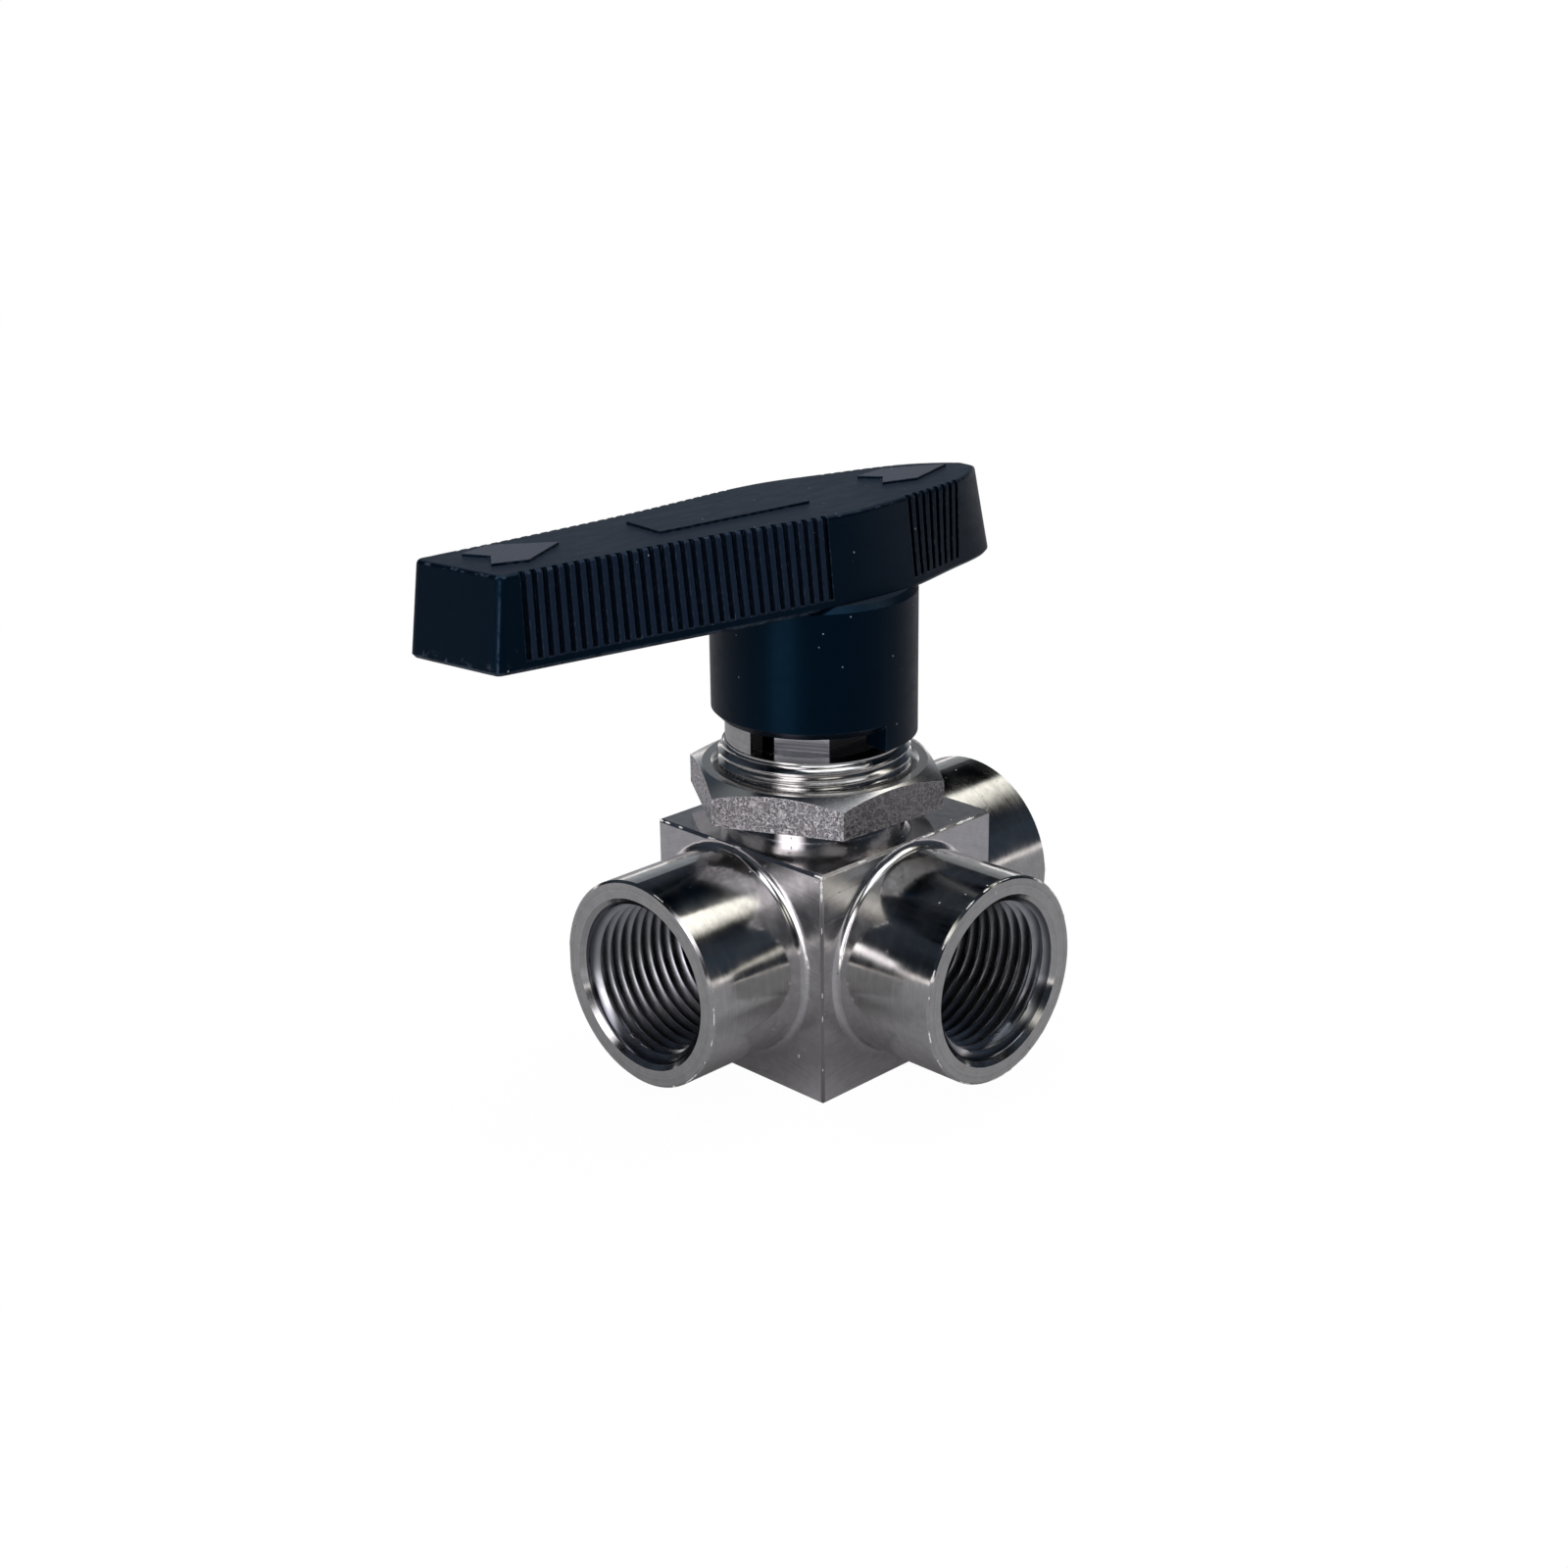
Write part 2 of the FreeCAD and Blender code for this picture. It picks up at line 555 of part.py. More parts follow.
def turning_pieces():
    return {
        "ball": turned(ball()),
        "stem": turned(stem()),
        "handle": turned(handle()),
        "handle_insert": turned(handle_insert()),
        "handle_set_screw": turned(handle_set_screw()),
    }


def main():
    os.makedirs("parts", exist_ok=True)
    pieces = dict(fixed_pieces(), **turning_pieces())
    for name, shape in pieces.items():
        solids = shape.Solids
        state = "ok" if shape.isValid() and len(solids) == 1 else "CHECK"
        print(f"{name:22s} {state} solids {len(solids)} volume {shape.Volume:9.1f} mm3")
        solids[0].exportStep(f"parts/{name}.step")


main()
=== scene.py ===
"""Looks for the three way ball valve: machined stainless steel body and a moulded nylon lever.

Pieces are in metres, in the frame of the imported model. Sizes and materials work in millimetres.
"""
import json
import math
import random

import bmesh
import bpy
from mathutils import Matrix, Vector


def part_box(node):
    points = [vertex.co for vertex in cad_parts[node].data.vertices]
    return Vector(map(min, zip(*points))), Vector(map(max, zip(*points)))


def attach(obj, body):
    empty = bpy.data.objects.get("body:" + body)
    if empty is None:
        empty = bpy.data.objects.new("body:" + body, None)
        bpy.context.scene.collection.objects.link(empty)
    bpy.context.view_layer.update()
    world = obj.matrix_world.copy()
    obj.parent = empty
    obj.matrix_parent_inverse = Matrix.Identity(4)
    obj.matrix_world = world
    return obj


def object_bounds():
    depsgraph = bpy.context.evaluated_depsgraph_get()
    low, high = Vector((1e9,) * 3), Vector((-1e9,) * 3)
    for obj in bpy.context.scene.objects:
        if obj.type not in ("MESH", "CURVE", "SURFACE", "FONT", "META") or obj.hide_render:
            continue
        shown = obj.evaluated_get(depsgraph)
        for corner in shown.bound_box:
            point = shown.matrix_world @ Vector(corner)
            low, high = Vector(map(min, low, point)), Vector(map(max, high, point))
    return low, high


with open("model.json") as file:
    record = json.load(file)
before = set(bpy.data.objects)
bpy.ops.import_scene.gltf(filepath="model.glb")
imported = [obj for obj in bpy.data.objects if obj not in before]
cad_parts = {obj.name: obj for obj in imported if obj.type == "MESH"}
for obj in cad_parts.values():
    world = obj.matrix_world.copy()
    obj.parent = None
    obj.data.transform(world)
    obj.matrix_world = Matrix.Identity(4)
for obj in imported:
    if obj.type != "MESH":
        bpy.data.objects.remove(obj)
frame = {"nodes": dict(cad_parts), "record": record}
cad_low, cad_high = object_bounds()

MM = 0.001
UP = Vector((0, 0, 1))

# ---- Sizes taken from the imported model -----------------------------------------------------
body_low, body_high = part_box("valve_body")
nut_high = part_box("panel_nut")[1]
mounts = {mount["name"]: mount for mount in frame["record"]["mounts"]}
PORT_Z = mounts["port_right"]["pos_m"][2] / MM
RUN_REACH = body_high.x / MM
BRANCH_REACH = -body_low.y / MM
NUT_TOP = nut_high.z / MM
MARK_HEIGHT = 0.3             # raised arrows and label pad on the lever
BAR_TOP = cad_high.z / MM - MARK_HEIGHT

# ---- Sizes that the model and its looks share ----------------------------------------------
BLOCK_TOP = PORT_Z + 11.25
BLOCK_SIDE = 12.5
BLOCK_FRONT = 12.95
BLOCK_BACK = 10.25
PORT_R = 10.6                 # outside radius of the port bosses
COLLAR_R = 9.1
COLLAR_TOP = PORT_Z + 24.3
NUT_SHADED_FLAT = 265.8       # degrees counter-clockwise from +X that the nut's rubbed smoother flat faces, painted darker as shade

THREAD_R = 8.33               # port thread, major radius
THREAD_CREST_R = 7.48
THREAD_PITCH = 1.337
THREAD_LENGTH = 13.0
MOUTH_R = 8.8
BONNET_R = 9.82               # bonnet thread, over its crests
BONNET_ROOT_R = 9.3
BONNET_PITCH = 1.1
BONNET_TOP = PORT_Z + 19.6

HANDLE_TURN = -5.6            # degrees the lever stands off the run
HUB_R = 10.45                 # round hub under the lever
BAR_BOTTOM = PORT_Z + 35.35
LONG_END = -39.0              # where the rubbing of the long end fades, along the lever
RIBS_BOTTOM = BAR_BOTTOM + 1.0
RIB_PITCH = 1.12
LEFT_GROOVES = (-37.5, -5.02)  # middle of the first and last groove, along the lever
MARKS_MIDDLE = -11.0          # in X, between the two arrows
PAD_ZONE = 14.0               # the label pad lies within this of the middle, the arrows past it

# Middles of the arcs that the cutter left on the block's faces
SIDE_ARC = (-6.0, -16.0)      # y and z
FRONT_ARC = (-7.0, -16.0)     # x and z
TOP_ARC = (-31.0, 9.0)        # x and y


def direction_to(azimuth, elevation):
    """Unit vector from compass degrees, counter-clockwise from +X, and degrees above the floor."""
    a, e = math.radians(azimuth), math.radians(elevation)
    return Vector((math.cos(a) * math.cos(e), math.sin(a) * math.cos(e), math.sin(e)))


# ---- Shader building -----------------------------------------------------------------------
def add_node(tree, kind, inputs=None, **settings):
    made = tree.nodes.new(kind)
    for name, value in settings.items():
        setattr(made, name, value)
    for socket, value in (inputs or {}).items():
        if isinstance(value, bpy.types.NodeSocket):
            tree.links.new(value, made.inputs[socket])
        else:
            made.inputs[socket].default_value = value
    return made


def calc(tree, operation, a, b=0.0, clamp=False):
    made = add_node(tree, "ShaderNodeMath", {0: a, 1: b}, operation=operation, use_clamp=clamp)
    return made.outputs[0]


def dot_product(tree, a, b):
    made = add_node(tree, "ShaderNodeVectorMath", {0: a, 1: b}, operation="DOT_PRODUCT")
    return made.outputs["Value"]


def ramp(tree, value, start, end, at_start=0.0, at_end=1.0, kind="SMOOTHSTEP"):
    """at_start up to start, at_end past end, and a smooth or straight change between."""
    inputs = {"Value": value, "From Min": start, "From Max": end, "To Min": at_start, "To Max": at_end}
    return add_node(tree, "ShaderNodeMapRange", inputs, interpolation_type=kind).outputs[0]


def fade(tree, value, start, end):
    """1 up to start, 0 past end, smooth between."""
    return ramp(tree, value, start, end, 1.0, 0.0)


class Finish:
    """One procedural material, with its coordinates in millimetres on the piece itself."""

    def __init__(self, name):
        self.material = bpy.data.materials.new(name)
        self.material.use_nodes = True
        self.tree = self.material.node_tree
        self.shader = self.tree.nodes["Principled BSDF"]
        place = add_node(self.tree, "ShaderNodeTexCoord").outputs["Object"]
        self.place = self.scaled(place, (1 / MM, 1 / MM, 1 / MM))
        self.x, self.y, self.z = self.split(self.place)
        normal = add_node(self.tree, "ShaderNodeNewGeometry").outputs["True Normal"]
        self.nx, self.ny, self.nz = self.split(normal)

    def split(self, vector):
        return add_node(self.tree, "ShaderNodeSeparateXYZ", {0: vector}).outputs[:3]

    def joined(self, x, y, z):
        return add_node(self.tree, "ShaderNodeCombineXYZ", {0: x, 1: y, 2: z}).outputs[0]

    def scaled(self, vector, factors):
        made = add_node(self.tree, "ShaderNodeVectorMath", {0: vector, 1: factors}, operation="MULTIPLY")
        return made.outputs[0]

    def math(self, operation, a, b=0.0, clamp=False):
        return calc(self.tree, operation, a, b, clamp)

    def absolute(self, value):
        return self.math("ABSOLUTE", value)

    def inverse(self, mask):
        return self.math("SUBTRACT", 1.0, mask)

    def product(self, first, *others):
        """All the values multiplied. Of masks, this is 1 where all of them are."""
        for other in others:
            first = self.math("MULTIPLY", first, other)
        return first

    def largest(self, first, *others):
        """The largest value. Of masks, this is 1 where any of them is."""
        for other in others:
            first = self.math("MAXIMUM", first, other)
        return first

    def turned(self, x, y, angle):
        """The pair (x, y) measured along and across a line that stands at an angle in degrees."""
        c, s = math.cos(math.radians(angle)), math.sin(math.radians(angle))
        along = self.math("ADD", self.math("MULTIPLY", x, c), self.math("MULTIPLY", y, s))
        across = self.math("SUBTRACT", self.math("MULTIPLY", y, c), self.math("MULTIPLY", x, s))
        return along, across

    def distance(self, a, b, middle=None):
        """Distance of the point (a, b) from a middle, which is the origin unless it is given."""
        if middle is not None:
            a = self.math("SUBTRACT", a, middle[0])
            b = self.math("SUBTRACT", b, middle[1])
        squares = self.math("ADD", self.math("MULTIPLY", a, a), self.math("MULTIPLY", b, b))
        return self.math("SQRT", squares)

    def step(self, value, low, high):
        """0 at low and 1 at high, smooth between. low may be the larger of the two."""
        return ramp(self.tree, value, low, high)

    def within(self, value, rise, fall):
        """1 between two limits: rise and fall are the values where each one starts and ends."""
        return self.product(self.step(value, *rise), self.step(value, *fall))

    def span(self, value, low, high, to_low, to_high):
        """A straight change from to_low at low to to_high at high."""
        return ramp(self.tree, value, low, high, to_low, to_high, "LINEAR")

    def facing(self, normal_part):
        """1 where the surface faces along an axis, given the normal's part along it."""
        return self.step(self.absolute(normal_part), 0.90, 0.97)

    def noise(self, scale, detail=2.0, roughness=0.5, vector=None):
        inputs = {"Vector": self.place if vector is None else vector, "Scale": scale, "Detail": detail,
                  "Roughness": roughness}
        return add_node(self.tree, "ShaderNodeTexNoise", inputs).outputs[0]

    def cells(self, scale, vector):
        return add_node(self.tree, "ShaderNodeTexVoronoi", {"Vector": vector, "Scale": scale}).outputs[0]

    def mix(self, factor, a, b):
        made = add_node(self.tree, "ShaderNodeMix", {0: factor, 2: a, 3: b}, data_type="FLOAT")
        return made.outputs[0]

    def tint(self, factor, a, b):
        """The colour a, and b where the factor is 1."""
        a, b = (colour + (1.0,) if isinstance(colour, tuple) else colour for colour in (a, b))
        return add_node(self.tree, "ShaderNodeMix", {0: factor, 6: a, 7: b}, data_type="RGBA").outputs[2]

    def rounded_normal(self, width):
        return add_node(self.tree, "ShaderNodeBevel", {"Radius": width * MM}, samples=4).outputs[0]

    def edge(self, width, low=0.02, high=0.25):
        """1 on sharp edges, from how far a rounded normal leans from the true one."""
        true = add_node(self.tree, "ShaderNodeNewGeometry").outputs["Normal"]
        lean = self.inverse(dot_product(self.tree, self.rounded_normal(width), true))
        return self.step(lean, low, high)

    def bump(self, height, depth, normal=None):
        """Bump whose height 0 to 1 stands for depth millimetres."""
        inputs = {"Height": height, "Distance": depth * MM, "Strength": 1.0}
        if normal is not None:
            inputs["Normal"] = normal
        return add_node(self.tree, "ShaderNodeBump", inputs).outputs[0]

    def set(self, **values):
        """Set or link the shader's own sockets, written with _ for spaces."""
        for name, value in values.items():
            socket = self.shader.inputs[name.replace("_", " ")]
            if isinstance(value, bpy.types.NodeSocket):
                self.tree.links.new(value, socket)
            elif isinstance(value, tuple):
                socket.default_value = value + (1.0,)
            else:
                socket.default_value = value
        return self.material


# ---- Steel ---------------------------------------------------------------------------------
STEEL_IOR = 2.2


def turning_marks(finish, along, fineness):
    """Fine lines left by a lathe: they change along one direction only."""
    coarse = finish.noise(fineness, 3.0, 0.7, finish.joined(along, 0.0, 0.0))
    fine = finish.noise(fineness * 4.1, 2.0, 0.6, finish.joined(along, 7.3, 0.0))
    return finish.math("ADD", finish.math("MULTIPLY", coarse, 0.6), finish.math("MULTIPLY", fine, 0.4))


def scratches(finish, scale, threshold, stretch=(1.0, 1.0, 0.35)):
    """Sparse short nicks and dust specks."""
    spots = finish.cells(scale, finish.scaled(finish.place, stretch))
    some = finish.noise(scale * 0.37, 1.0)
    return finish.product(finish.step(spots, 0.10, 0.04), finish.step(some, threshold, threshold + 0.03))


def body_steel():
    """Machined stainless steel: turned bosses and bonnet, milled block, bright worn edges."""
    finish = Finish("body_steel")
    sideways = finish.absolute(finish.x)
    forward = finish.math("MULTIPLY", finish.y, -1.0)
    up = finish.math("SUBTRACT", finish.z, PORT_Z)
    on_run = finish.step(sideways, BLOCK_SIDE + 0.15, BLOCK_SIDE + 0.4)
    on_branch = finish.step(forward, BLOCK_FRONT + 0.15, BLOCK_FRONT + 0.4)
    on_bonnet = finish.step(finish.z, BLOCK_TOP + 0.05, BLOCK_TOP + 0.2)
    turned = finish.largest(on_run, on_branch, on_bonnet)
    flat_x, flat_y, flat_z = (finish.facing(part) for part in (finish.nx, finish.ny, finish.nz))
    run_face = finish.product(on_run, flat_x)
    branch_face = finish.product(on_branch, flat_y)
    port_face = finish.largest(run_face, branch_face)

    # Where the tools' lines run: across each boss, round each flat end, round the bonnet, and
    # in wide arcs over the block.
    run_line = finish.mix(run_face, finish.x, finish.distance(finish.y, up))
    branch_line = finish.mix(branch_face, finish.y, finish.distance(finish.x, up))
    bonnet_line = finish.mix(flat_z, finish.z, finish.distance(finish.x, finish.y))
    block_line = finish.mix(flat_y, finish.distance(finish.y, finish.z, SIDE_ARC),
                            finish.distance(finish.x, finish.z, FRONT_ARC))
    block_line = finish.mix(flat_z, block_line, finish.distance(finish.x, finish.y, TOP_ARC))
    line = finish.mix(on_run, block_line, run_line)
    line = finish.mix(on_branch, line, branch_line)
    line = finish.mix(on_bonnet, line, bonnet_line)

    marks = turning_marks(finish, line, 3.0)
    patches = finish.noise(0.30, 3.0, 0.5)
    cloud = finish.noise(1.1, 4.0, 0.6)
    nicks = scratches(finish, 0.9, 0.56)
    dents = scratches(finish, 0.62, 0.55, (0.45, 1.2, 1.5))
    worn = finish.product(finish.edge(0.14), finish.step(finish.noise(2.5, 3.0), 0.50, 0.64))

    rough = finish.mix(turned, finish.mix(flat_z, 0.20, 0.09), 0.12)
    rough = finish.mix(port_face, rough, 0.30)
    rough = finish.math("ADD", rough, finish.span(patches, 0.35, 0.65, -0.03, 0.05))
    rough = finish.math("ADD", rough, finish.span(marks, 0.35, 0.65, -0.02, 0.04))
    rough = finish.math("ADD", rough, finish.math("MULTIPLY", worn, 0.15))
    rough = finish.math("ADD", rough, finish.math("MULTIPLY", nicks, 0.2), True)

    shade = finish.math("ADD", finish.span(cloud, 0.35, 0.65, 0.0, 0.4),
                        finish.span(marks, 0.35, 0.65, 0.0, 0.7))
    milled_colour = finish.tint(shade, (0.60, 0.588, 0.60), (0.84, 0.825, 0.84))
    turned_colour = finish.tint(shade, (0.50, 0.495, 0.48), (0.70, 0.695, 0.685))
    colour = finish.tint(turned, milled_colour, turned_colour)
    colour = finish.tint(worn, colour, (0.90, 0.89, 0.88))
    colour = finish.tint(finish.math("MULTIPLY", dents, 0.75), colour, (0.14, 0.14, 0.15))
    colour = finish.tint(nicks, colour, (0.92, 0.92, 0.92))
    # Painted shade: the block's upright front corners are painted dark below the top, so that they look
    # bright only near the top.
    shaded_corner = finish.product(finish.step(sideways, BLOCK_SIDE - 0.35, BLOCK_SIDE - 0.25),
                                 finish.step(forward, BLOCK_FRONT - 0.35, BLOCK_FRONT - 0.25),
                                 finish.step(finish.z, BLOCK_TOP - 1.5, BLOCK_TOP - 4.5))
    colour = finish.tint(shaded_corner, colour, (0.30, 0.295, 0.30))

    depth = finish.bump(marks, 0.0015)
    depth = finish.bump(patches, 0.020, depth)
    depth = finish.bump(nicks, 0.02, depth)
    metal = finish.inverse(finish.math("MULTIPLY", nicks, 0.8))
    return finish.set(Base_Color=colour, Metallic=metal, Roughness=rough, Normal=depth, IOR=STEEL_IOR)


def nut_steel():
    """Smooth turned top and grit blasted flats, one of them rubbed smoother than the rest and painted
    darker, a painted shade.
    """
    finish = Finish("nut_steel")
    shaded_way = direction_to(NUT_SHADED_FLAT, 0.0)
    facing_it = finish.math("ADD", finish.math("MULTIPLY", finish.nx, shaded_way.x),
                            finish.math("MULTIPLY", finish.ny, shaded_way.y))
    rubbed_and_shaded = finish.step(facing_it, 0.90, 0.97)
    level = finish.step(finish.absolute(finish.nz), 0.12, 0.2)
    marks = turning_marks(finish, finish.distance(finish.x, finish.y), 3.0)
    # Grains stand where a soft noise crosses its middle value.
    off_middle = finish.absolute(finish.span(finish.noise(1.7, 3.0, 0.55), 0.0, 1.0, -4.5, 4.5))
    grain = finish.math("SUBTRACT", 1.0, off_middle, True)
    speckle = finish.noise(9.0, 4.0, 0.7)
    worn = finish.product(finish.edge(0.2), finish.step(finish.noise(2.4, 3.0), 0.40, 0.6))

    # The grain's ridges are painted pale and its hollows dark: partly the blasted grain's own tone,
    # partly a painted highlight on the ridges and painted shade in the hollows.
    colour = finish.tint(finish.step(grain, 0.10, 0.90), (0.27, 0.26, 0.27), (0.95, 0.91, 0.94))
    # Painted shade: one flat of the nut is painted darker than the others.
    colour = finish.tint(finish.math("MULTIPLY", rubbed_and_shaded, 0.75), colour, (0.20, 0.195, 0.195))
    colour = finish.tint(level, colour, finish.tint(marks, (0.66, 0.65, 0.64), (0.80, 0.79, 0.78)))
    colour = finish.tint(worn, colour, (0.94, 0.93, 0.92))
    rough = finish.mix(level, 0.27, 0.20)
    rough = finish.math("ADD", rough, finish.span(speckle, 0.3, 0.7, -0.06, 0.06), True)
    height = finish.product(finish.math("ADD", grain, finish.math("MULTIPLY", speckle, 0.25)),
                            finish.inverse(level), finish.mix(rubbed_and_shaded, 1.0, 0.35))
    depth = finish.bump(height, 0.115)
    depth = finish.bump(marks, 0.0025, depth)
    return finish.set(Base_Color=colour, Metallic=1.0, Roughness=rough, Normal=depth, IOR=STEEL_IOR)


def thread_steel():
    """Cut thread: bright crests, and painted shade that darkens the valleys."""
    finish = Finish("thread_steel")
    up = finish.math("SUBTRACT", finish.z, PORT_Z)
    # The branch's thread stays nearer the middle than this, and the run's threads stay past it.
    on_run = finish.step(finish.absolute(finish.x), 11.0, 11.2)
    radius = finish.mix(on_run, finish.distance(finish.x, up), finish.distance(finish.y, up))
    valley_shade = finish.step(radius, THREAD_CREST_R + 0.15, THREAD_R - 0.1)
    cloud = finish.span(finish.noise(0.7, 3.0, 0.5), 0.3, 0.7, 0.0, 1.0)
    colour = finish.tint(cloud, (0.42, 0.43, 0.46), (0.54, 0.55, 0.57))
    # Painted shade: the thread's valleys are painted dark.
    colour = finish.tint(valley_shade, colour, (0.11, 0.115, 0.13))
    return finish.set(Base_Color=colour, Metallic=1.0, Roughness=0.20, IOR=STEEL_IOR)


def burr_steel():
    """Torn bright metal on the edges the cutter left sharp, painted white and given a faint glow as a
    painted glint.
    """
    finish = Finish("burr_steel")
    sparkle = finish.noise(6.0, 3.0, 0.7)
    colour = finish.tint(finish.step(sparkle, 0.4, 0.6), (0.80, 0.79, 0.78), (0.97, 0.96, 0.95))
    rough = finish.span(sparkle, 0.3, 0.7, 0.30, 0.55)
    depth = finish.bump(sparkle, 0.03)
    # Painted glint: the burrs are white and glow faintly, so they shine as if catching a lamp.
    return finish.set(Base_Color=colour, Metallic=0.0, Roughness=rough, Normal=depth,
                      Emission_Color=(1.0, 0.98, 0.95), Emission_Strength=0.25)


def plain_steel(name, dark, light, rough, line_axis="z", marks_depth=0.003):
    """Turned or ground steel with lines across one axis, and a painted highlight along its sharp edges.
    """
    finish = Finish(name)
    radius = finish.distance(finish.x, finish.y)
    along = {"z": finish.z, "radius": radius, "x": finish.x}[line_axis]
    marks = turning_marks(finish, finish.mix(finish.facing(finish.nz), along, radius), 6.0)
    patches = finish.noise(1.5, 4.0, 0.6)
    edge = finish.edge(0.12)
    colour = finish.tint(finish.span(marks, 0.3, 0.7, 0.0, 1.0), dark, light)
    # Painted highlight: sharp edges are painted pale.
    colour = finish.tint(finish.math("MULTIPLY", edge, 0.7), colour, (0.9, 0.9, 0.89))
    roughness = finish.span(patches, 0.3, 0.7, rough - 0.05, rough + 0.07)
    depth = finish.bump(marks, marks_depth)
    return finish.set(Base_Color=colour, Metallic=1.0, Roughness=roughness, Normal=depth, IOR=STEEL_IOR)


# ---- Plastics ------------------------------------------------------------------------------
PLASTIC_IOR = 1.45


def rib_crests(finish, along):
    """1 on the crests between the grooves of the lever's long grip."""
    first, last = LEFT_GROOVES
    on_ribs = finish.product(finish.within(along, (first - 0.3, first - 0.1), (last + 0.3, last + 0.1)),
                             finish.step(finish.z, RIBS_BOTTOM - 0.1, RIBS_BOTTOM + 0.1))
    pitches = finish.math("DIVIDE", finish.math("SUBTRACT", along, first), RIB_PITCH)
    from_crest = finish.absolute(finish.math("SUBTRACT", finish.math("FRACT", pitches), 0.5))
    from_groove = finish.math("SUBTRACT", 0.5, from_crest)
    return finish.product(on_ribs, finish.step(from_groove, 0.24, 0.28))


def rubbed_places(finish, along, outside_hub, open_edge):
    """1 where use has rubbed the lever pale: patches of its rims, and its long end's corner."""
    rubs = finish.noise(1.1, 5.0, 0.7)
    shoulder = finish.product(finish.within(finish.nz, (0.25, 0.45), (0.88, 0.75)), open_edge)
    rim_top, rim_bottom = (BAR_BOTTOM + 0.50, BAR_BOTTOM + 0.25), (BAR_BOTTOM - 0.2, BAR_BOTTOM - 0.05)
    low_rim = finish.product(finish.within(finish.z, rim_bottom, rim_top), outside_hub)
    # The corner's place comes from the piece's own normal, which turns with the lever.
    own_normal = add_node(finish.tree, "ShaderNodeTexCoord").outputs["Normal"]
    normal_x, normal_y, _ = finish.split(own_normal)
    faces_along, faces_across = finish.turned(normal_x, normal_y, HANDLE_TURN)
    cornerwise = finish.math("SUBTRACT", finish.absolute(faces_across), faces_along)
    corner = finish.step(finish.math("MULTIPLY", cornerwise, math.sqrt(0.5)), 0.980, 0.996)
    long_end = finish.step(along, LONG_END, LONG_END - 1.5)
    near_bottom = finish.step(finish.z, BAR_BOTTOM + 1.3, BAR_BOTTOM + 0.5)
    return finish.largest(
        finish.product(shoulder, finish.step(finish.noise(1.6, 4.0, 0.65), 0.54, 0.62)),
        finish.product(low_rim, finish.step(rubs, 0.40, 0.58)),
        finish.product(corner, long_end, finish.step(rubs, 0.30, 0.52)),
        finish.product(long_end, near_bottom, finish.step(rubs, 0.56, 0.60)))


def handle_nylon():
    """Deep blue-black moulded nylon, satin, with light scuffs on its edges and dust specks, and a painted
    highlight along its edges and over its top.
    """
    finish = Finish("handle_nylon")
    along = finish.turned(finish.x, finish.y, HANDLE_TURN)[0]
    level = finish.step(finish.nz, 0.85, 0.97)
    on_hub = finish.step(finish.z, RIBS_BOTTOM - 0.4, RIBS_BOTTOM - 0.9)
    outside_hub = finish.step(finish.distance(finish.x, finish.y), HUB_R + 0.2, HUB_R + 0.6)
    on_marks = finish.step(finish.z, BAR_TOP + 0.2, BAR_TOP + 0.28)
    from_middle = finish.absolute(finish.math("SUBTRACT", finish.x, MARKS_MIDDLE))
    arrows = finish.product(on_marks, finish.step(from_middle, PAD_ZONE, PAD_ZONE + 1.0))
    grain = finish.noise(9.0, 4.0, 0.65)
    cloud = finish.noise(0.25, 4.0, 0.6)
    flow = finish.noise(0.9, 5.0, 0.7, finish.scaled(finish.place, (0.35, 1.0, 1.0)))
    dust = scratches(finish, 0.9, 0.60, (1.0, 1.1, 0.9))

    # Nothing rubs in the corner where the hub runs into the bar, and the painted edge highlight stays out
    # of it too.
    inner_corner = finish.product(finish.within(finish.z, (BAR_BOTTOM - 1.6, BAR_BOTTOM - 1.3),
                                                (BAR_BOTTOM + 1.0, BAR_BOTTOM + 0.6)),
                                  finish.inverse(outside_hub))
    open_edge = finish.inverse(inner_corner)
    edge = finish.product(finish.edge(0.20), open_edge)
    scuff = finish.product(edge, finish.step(finish.noise(1.8, 4.0, 0.7), 0.48, 0.66))
    rubbed_and_shaded = rubbed_places(finish, along, outside_hub, open_edge)

    colour = finish.tint(cloud, (0.0000, 0.0020, 0.0058), (0.0002, 0.0034, 0.0092))
    crest_colour = finish.tint(flow, (0.0095, 0.0165, 0.0320), (0.0145, 0.0230, 0.0430))
    arrow_colour = finish.tint(flow, (0.055, 0.063, 0.080), (0.095, 0.105, 0.130))
    colour = finish.tint(rib_crests(finish, along), colour, crest_colour)
    # Painted light: the lever's top is painted paler than its sides, as if lit from above.
    colour = finish.tint(level, colour, (0.0185, 0.0255, 0.0375))
    colour = finish.tint(arrows, colour, arrow_colour)
    # Painted highlight: every open edge of the lever is painted paler.
    colour = finish.tint(finish.math("MULTIPLY", edge, 0.55), colour, (0.026, 0.034, 0.050))
    colour = finish.tint(finish.math("MULTIPLY", rubbed_and_shaded, 0.8), colour, (0.050, 0.066, 0.095))
    colour = finish.tint(finish.math("MULTIPLY", scuff, 0.75), colour, (0.10, 0.125, 0.16))
    colour = finish.tint(dust, colour, (0.45, 0.47, 0.50))
    rough = finish.mix(on_hub, finish.mix(level, 0.38, 0.50), 0.33)
    rough = finish.math("ADD", rough, finish.span(flow, 0.3, 0.7, -0.05, 0.07), True)
    depth = finish.bump(grain, 0.004, finish.rounded_normal(0.12))
    depth = finish.bump(flow, 0.010, depth)
    return finish.set(Base_Color=colour, Roughness=rough, Normal=depth, IOR=PLASTIC_IOR,
                      Specular_IOR_Level=0.30, Specular_Tint=(0.12, 0.47, 0.90))


